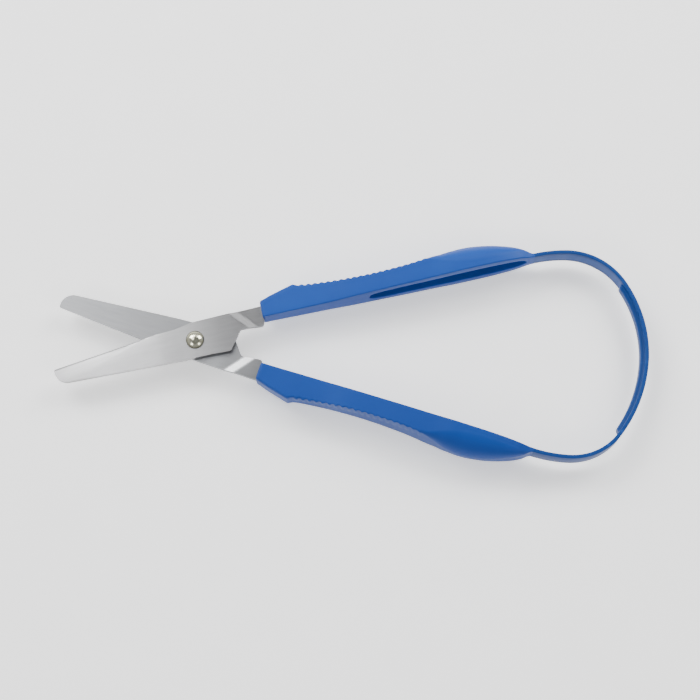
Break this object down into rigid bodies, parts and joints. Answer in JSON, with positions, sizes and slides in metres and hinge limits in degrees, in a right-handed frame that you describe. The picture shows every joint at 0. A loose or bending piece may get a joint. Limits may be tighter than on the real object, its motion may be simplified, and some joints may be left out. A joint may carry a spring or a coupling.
{
  "type": "loop scissors",
  "caption": "Self-opening scissors: round-tipped steel blades on a domed rivet, with slim blue grips joined by a flexible ribbed loop that springs them apart.",
  "frame": {"origin": "on the table plane under the middle of the open scissors' bounding box", "axes": "+X from the blade tips to the loop, +Y toward the front half's grip, +Z along the pivot axis, out of the rivet's domed head"},
  "size_m": [0.2146, 0.0807, 0.0153],
  "materials": {
    "steel": "stamped stainless sheet, ground and lightly polished",
    "rivet": "bright nickel-plated brass, faintly yellow",
    "grip_plastic": "moulded blue polypropylene, satin gloss",
    "loop_plastic": "the same moulded blue plastic, thin and flexible"
  },
  "bodies": {
    "front_half": {"blade_front": "steel", "pivot_rivet": "rivet", "rivet_washer": "rivet", "grip_upper": "grip_plastic"},
    "back_half": {"blade_back": "steel", "grip_lower": "grip_plastic"},
    "loop_upper_1": {"loop_upper_1": "loop_plastic"},
    "loop_upper_2": {"loop_upper_2": "loop_plastic"},
    "loop_upper_3": {"loop_upper_3": "loop_plastic"},
    "loop_upper_4": {"loop_upper_4": "loop_plastic"},
    "loop_upper_5": {"loop_upper_5": "loop_plastic"},
    "loop_upper_6": {"loop_upper_6": "loop_plastic"},
    "loop_upper_7": {"loop_upper_7": "loop_plastic"},
    "loop_lower_1": {"loop_lower_1": "loop_plastic"},
    "loop_lower_2": {"loop_lower_2": "loop_plastic"},
    "loop_lower_3": {"loop_lower_3": "loop_plastic"},
    "loop_lower_4": {"loop_lower_4": "loop_plastic"},
    "loop_lower_5": {"loop_lower_5": "loop_plastic"},
    "loop_lower_6": {"loop_lower_6": "loop_plastic"},
    "loop_lower_7": {"loop_lower_7": "loop_plastic"}
  },
  "joints": [
    {"name": "pivot", "type": "hinge", "parent": "front_half", "child": "back_half", "pos_m": [-0.0565, 0.0044, 0.0075], "axis": [0, 0, 1], "range_deg": [-2, 26], "stiffness_Nm_per_rad": 0.5},
    {"name": "flex_upper_1", "type": "hinge", "parent": "front_half", "child": "loop_upper_1", "pos_m": [0.0675, 0.03623, 0.0075], "axis": [0, 0, 1], "range_deg": [-2.1, 21.3]},
    {"name": "flex_upper_2", "type": "hinge", "parent": "loop_upper_1", "child": "loop_upper_2", "pos_m": [0.07324, 0.03722, 0.0075], "axis": [0, 0, 1], "range_deg": [-2.3, 23.5]},
    {"name": "flex_upper_3", "type": "hinge", "parent": "loop_upper_2", "child": "loop_upper_3", "pos_m": [0.07906, 0.03754, 0.0075], "axis": [0, 0, 1], "range_deg": [-2.3, 23.7]},
    {"name": "flex_upper_4", "type": "hinge", "parent": "loop_upper_3", "child": "loop_upper_4", "pos_m": [0.09093, 0.03441, 0.0075], "axis": [0, 0, 1], "range_deg": [-5.7, 0.9]},
    {"name": "flex_upper_5", "type": "hinge", "parent": "loop_upper_4", "child": "loop_upper_5", "pos_m": [0.09979, 0.02593, 0.0075], "axis": [0, 0, 1], "range_deg": [-21.5, 2.2]},
    {"name": "flex_upper_6", "type": "hinge", "parent": "loop_upper_5", "child": "loop_upper_6", "pos_m": [0.10433, 0.01636, 0.0075], "axis": [0, 0, 1], "range_deg": [-11.6, 1.4]},
    {"name": "flex_upper_7", "type": "hinge", "parent": "loop_upper_6", "child": "loop_upper_7", "pos_m": [0.1066, 0.00602, 0.0075], "axis": [0, 0, 1], "range_deg": [-20.5, 2.1]},
    {"name": "flex_lower_1", "type": "hinge", "parent": "back_half", "child": "loop_lower_1", "pos_m": [0.06464, -0.03695, 0.0075], "axis": [0, 0, 1], "range_deg": [-25, 2.4]},
    {"name": "flex_lower_2", "type": "hinge", "parent": "loop_lower_1", "child": "loop_lower_2", "pos_m": [0.07101, -0.03858, 0.0075], "axis": [0, 0, 1], "range_deg": [-27, 2.6]},
    {"name": "flex_lower_3", "type": "hinge", "parent": "loop_lower_2", "child": "loop_lower_3", "pos_m": [0.07755, -0.03934, 0.0075], "axis": [0, 0, 1], "range_deg": [-19.1, 2]},
    {"name": "flex_lower_4", "type": "hinge", "parent": "loop_lower_3", "child": "loop_lower_4", "pos_m": [0.08741, -0.03746, 0.0075], "axis": [0, 0, 1], "range_deg": [-1.1, 7.1]},
    {"name": "flex_lower_5", "type": "hinge", "parent": "loop_lower_4", "child": "loop_lower_5", "pos_m": [0.09533, -0.03128, 0.0075], "axis": [0, 0, 1], "range_deg": [-1.9, 18.6]},
    {"name": "flex_lower_6", "type": "hinge", "parent": "loop_lower_5", "child": "loop_lower_6", "pos_m": [0.10067, -0.02311, 0.0075], "axis": [0, 0, 1], "range_deg": [-1.3, 10.8]},
    {"name": "flex_lower_7", "type": "hinge", "parent": "loop_lower_6", "child": "loop_lower_7", "pos_m": [0.10443, -0.01411, 0.0075], "axis": [0, 0, 1], "range_deg": [-2, 18.9]}
  ],
  "couplings": [
    {"joint": "flex_upper_1", "follows": "pivot", "ratio": 0.8},
    {"joint": "flex_upper_2", "follows": "pivot", "ratio": 0.881},
    {"joint": "flex_upper_3", "follows": "pivot", "ratio": 0.891},
    {"joint": "flex_upper_4", "follows": "pivot", "ratio": -0.199},
    {"joint": "flex_upper_5", "follows": "pivot", "ratio": -0.807},
    {"joint": "flex_upper_6", "follows": "pivot", "ratio": -0.424},
    {"joint": "flex_upper_7", "follows": "pivot", "ratio": -0.766},
    {"joint": "flex_lower_1", "follows": "pivot", "ratio": -0.94},
    {"joint": "flex_lower_2", "follows": "pivot", "ratio": -1.019},
    {"joint": "flex_lower_3", "follows": "pivot", "ratio": -0.712},
    {"joint": "flex_lower_4", "follows": "pivot", "ratio": 0.252},
    {"joint": "flex_lower_5", "follows": "pivot", "ratio": 0.696},
    {"joint": "flex_lower_6", "follows": "pivot", "ratio": 0.394},
    {"joint": "flex_lower_7", "follows": "pivot", "ratio": 0.705}
  ]
}
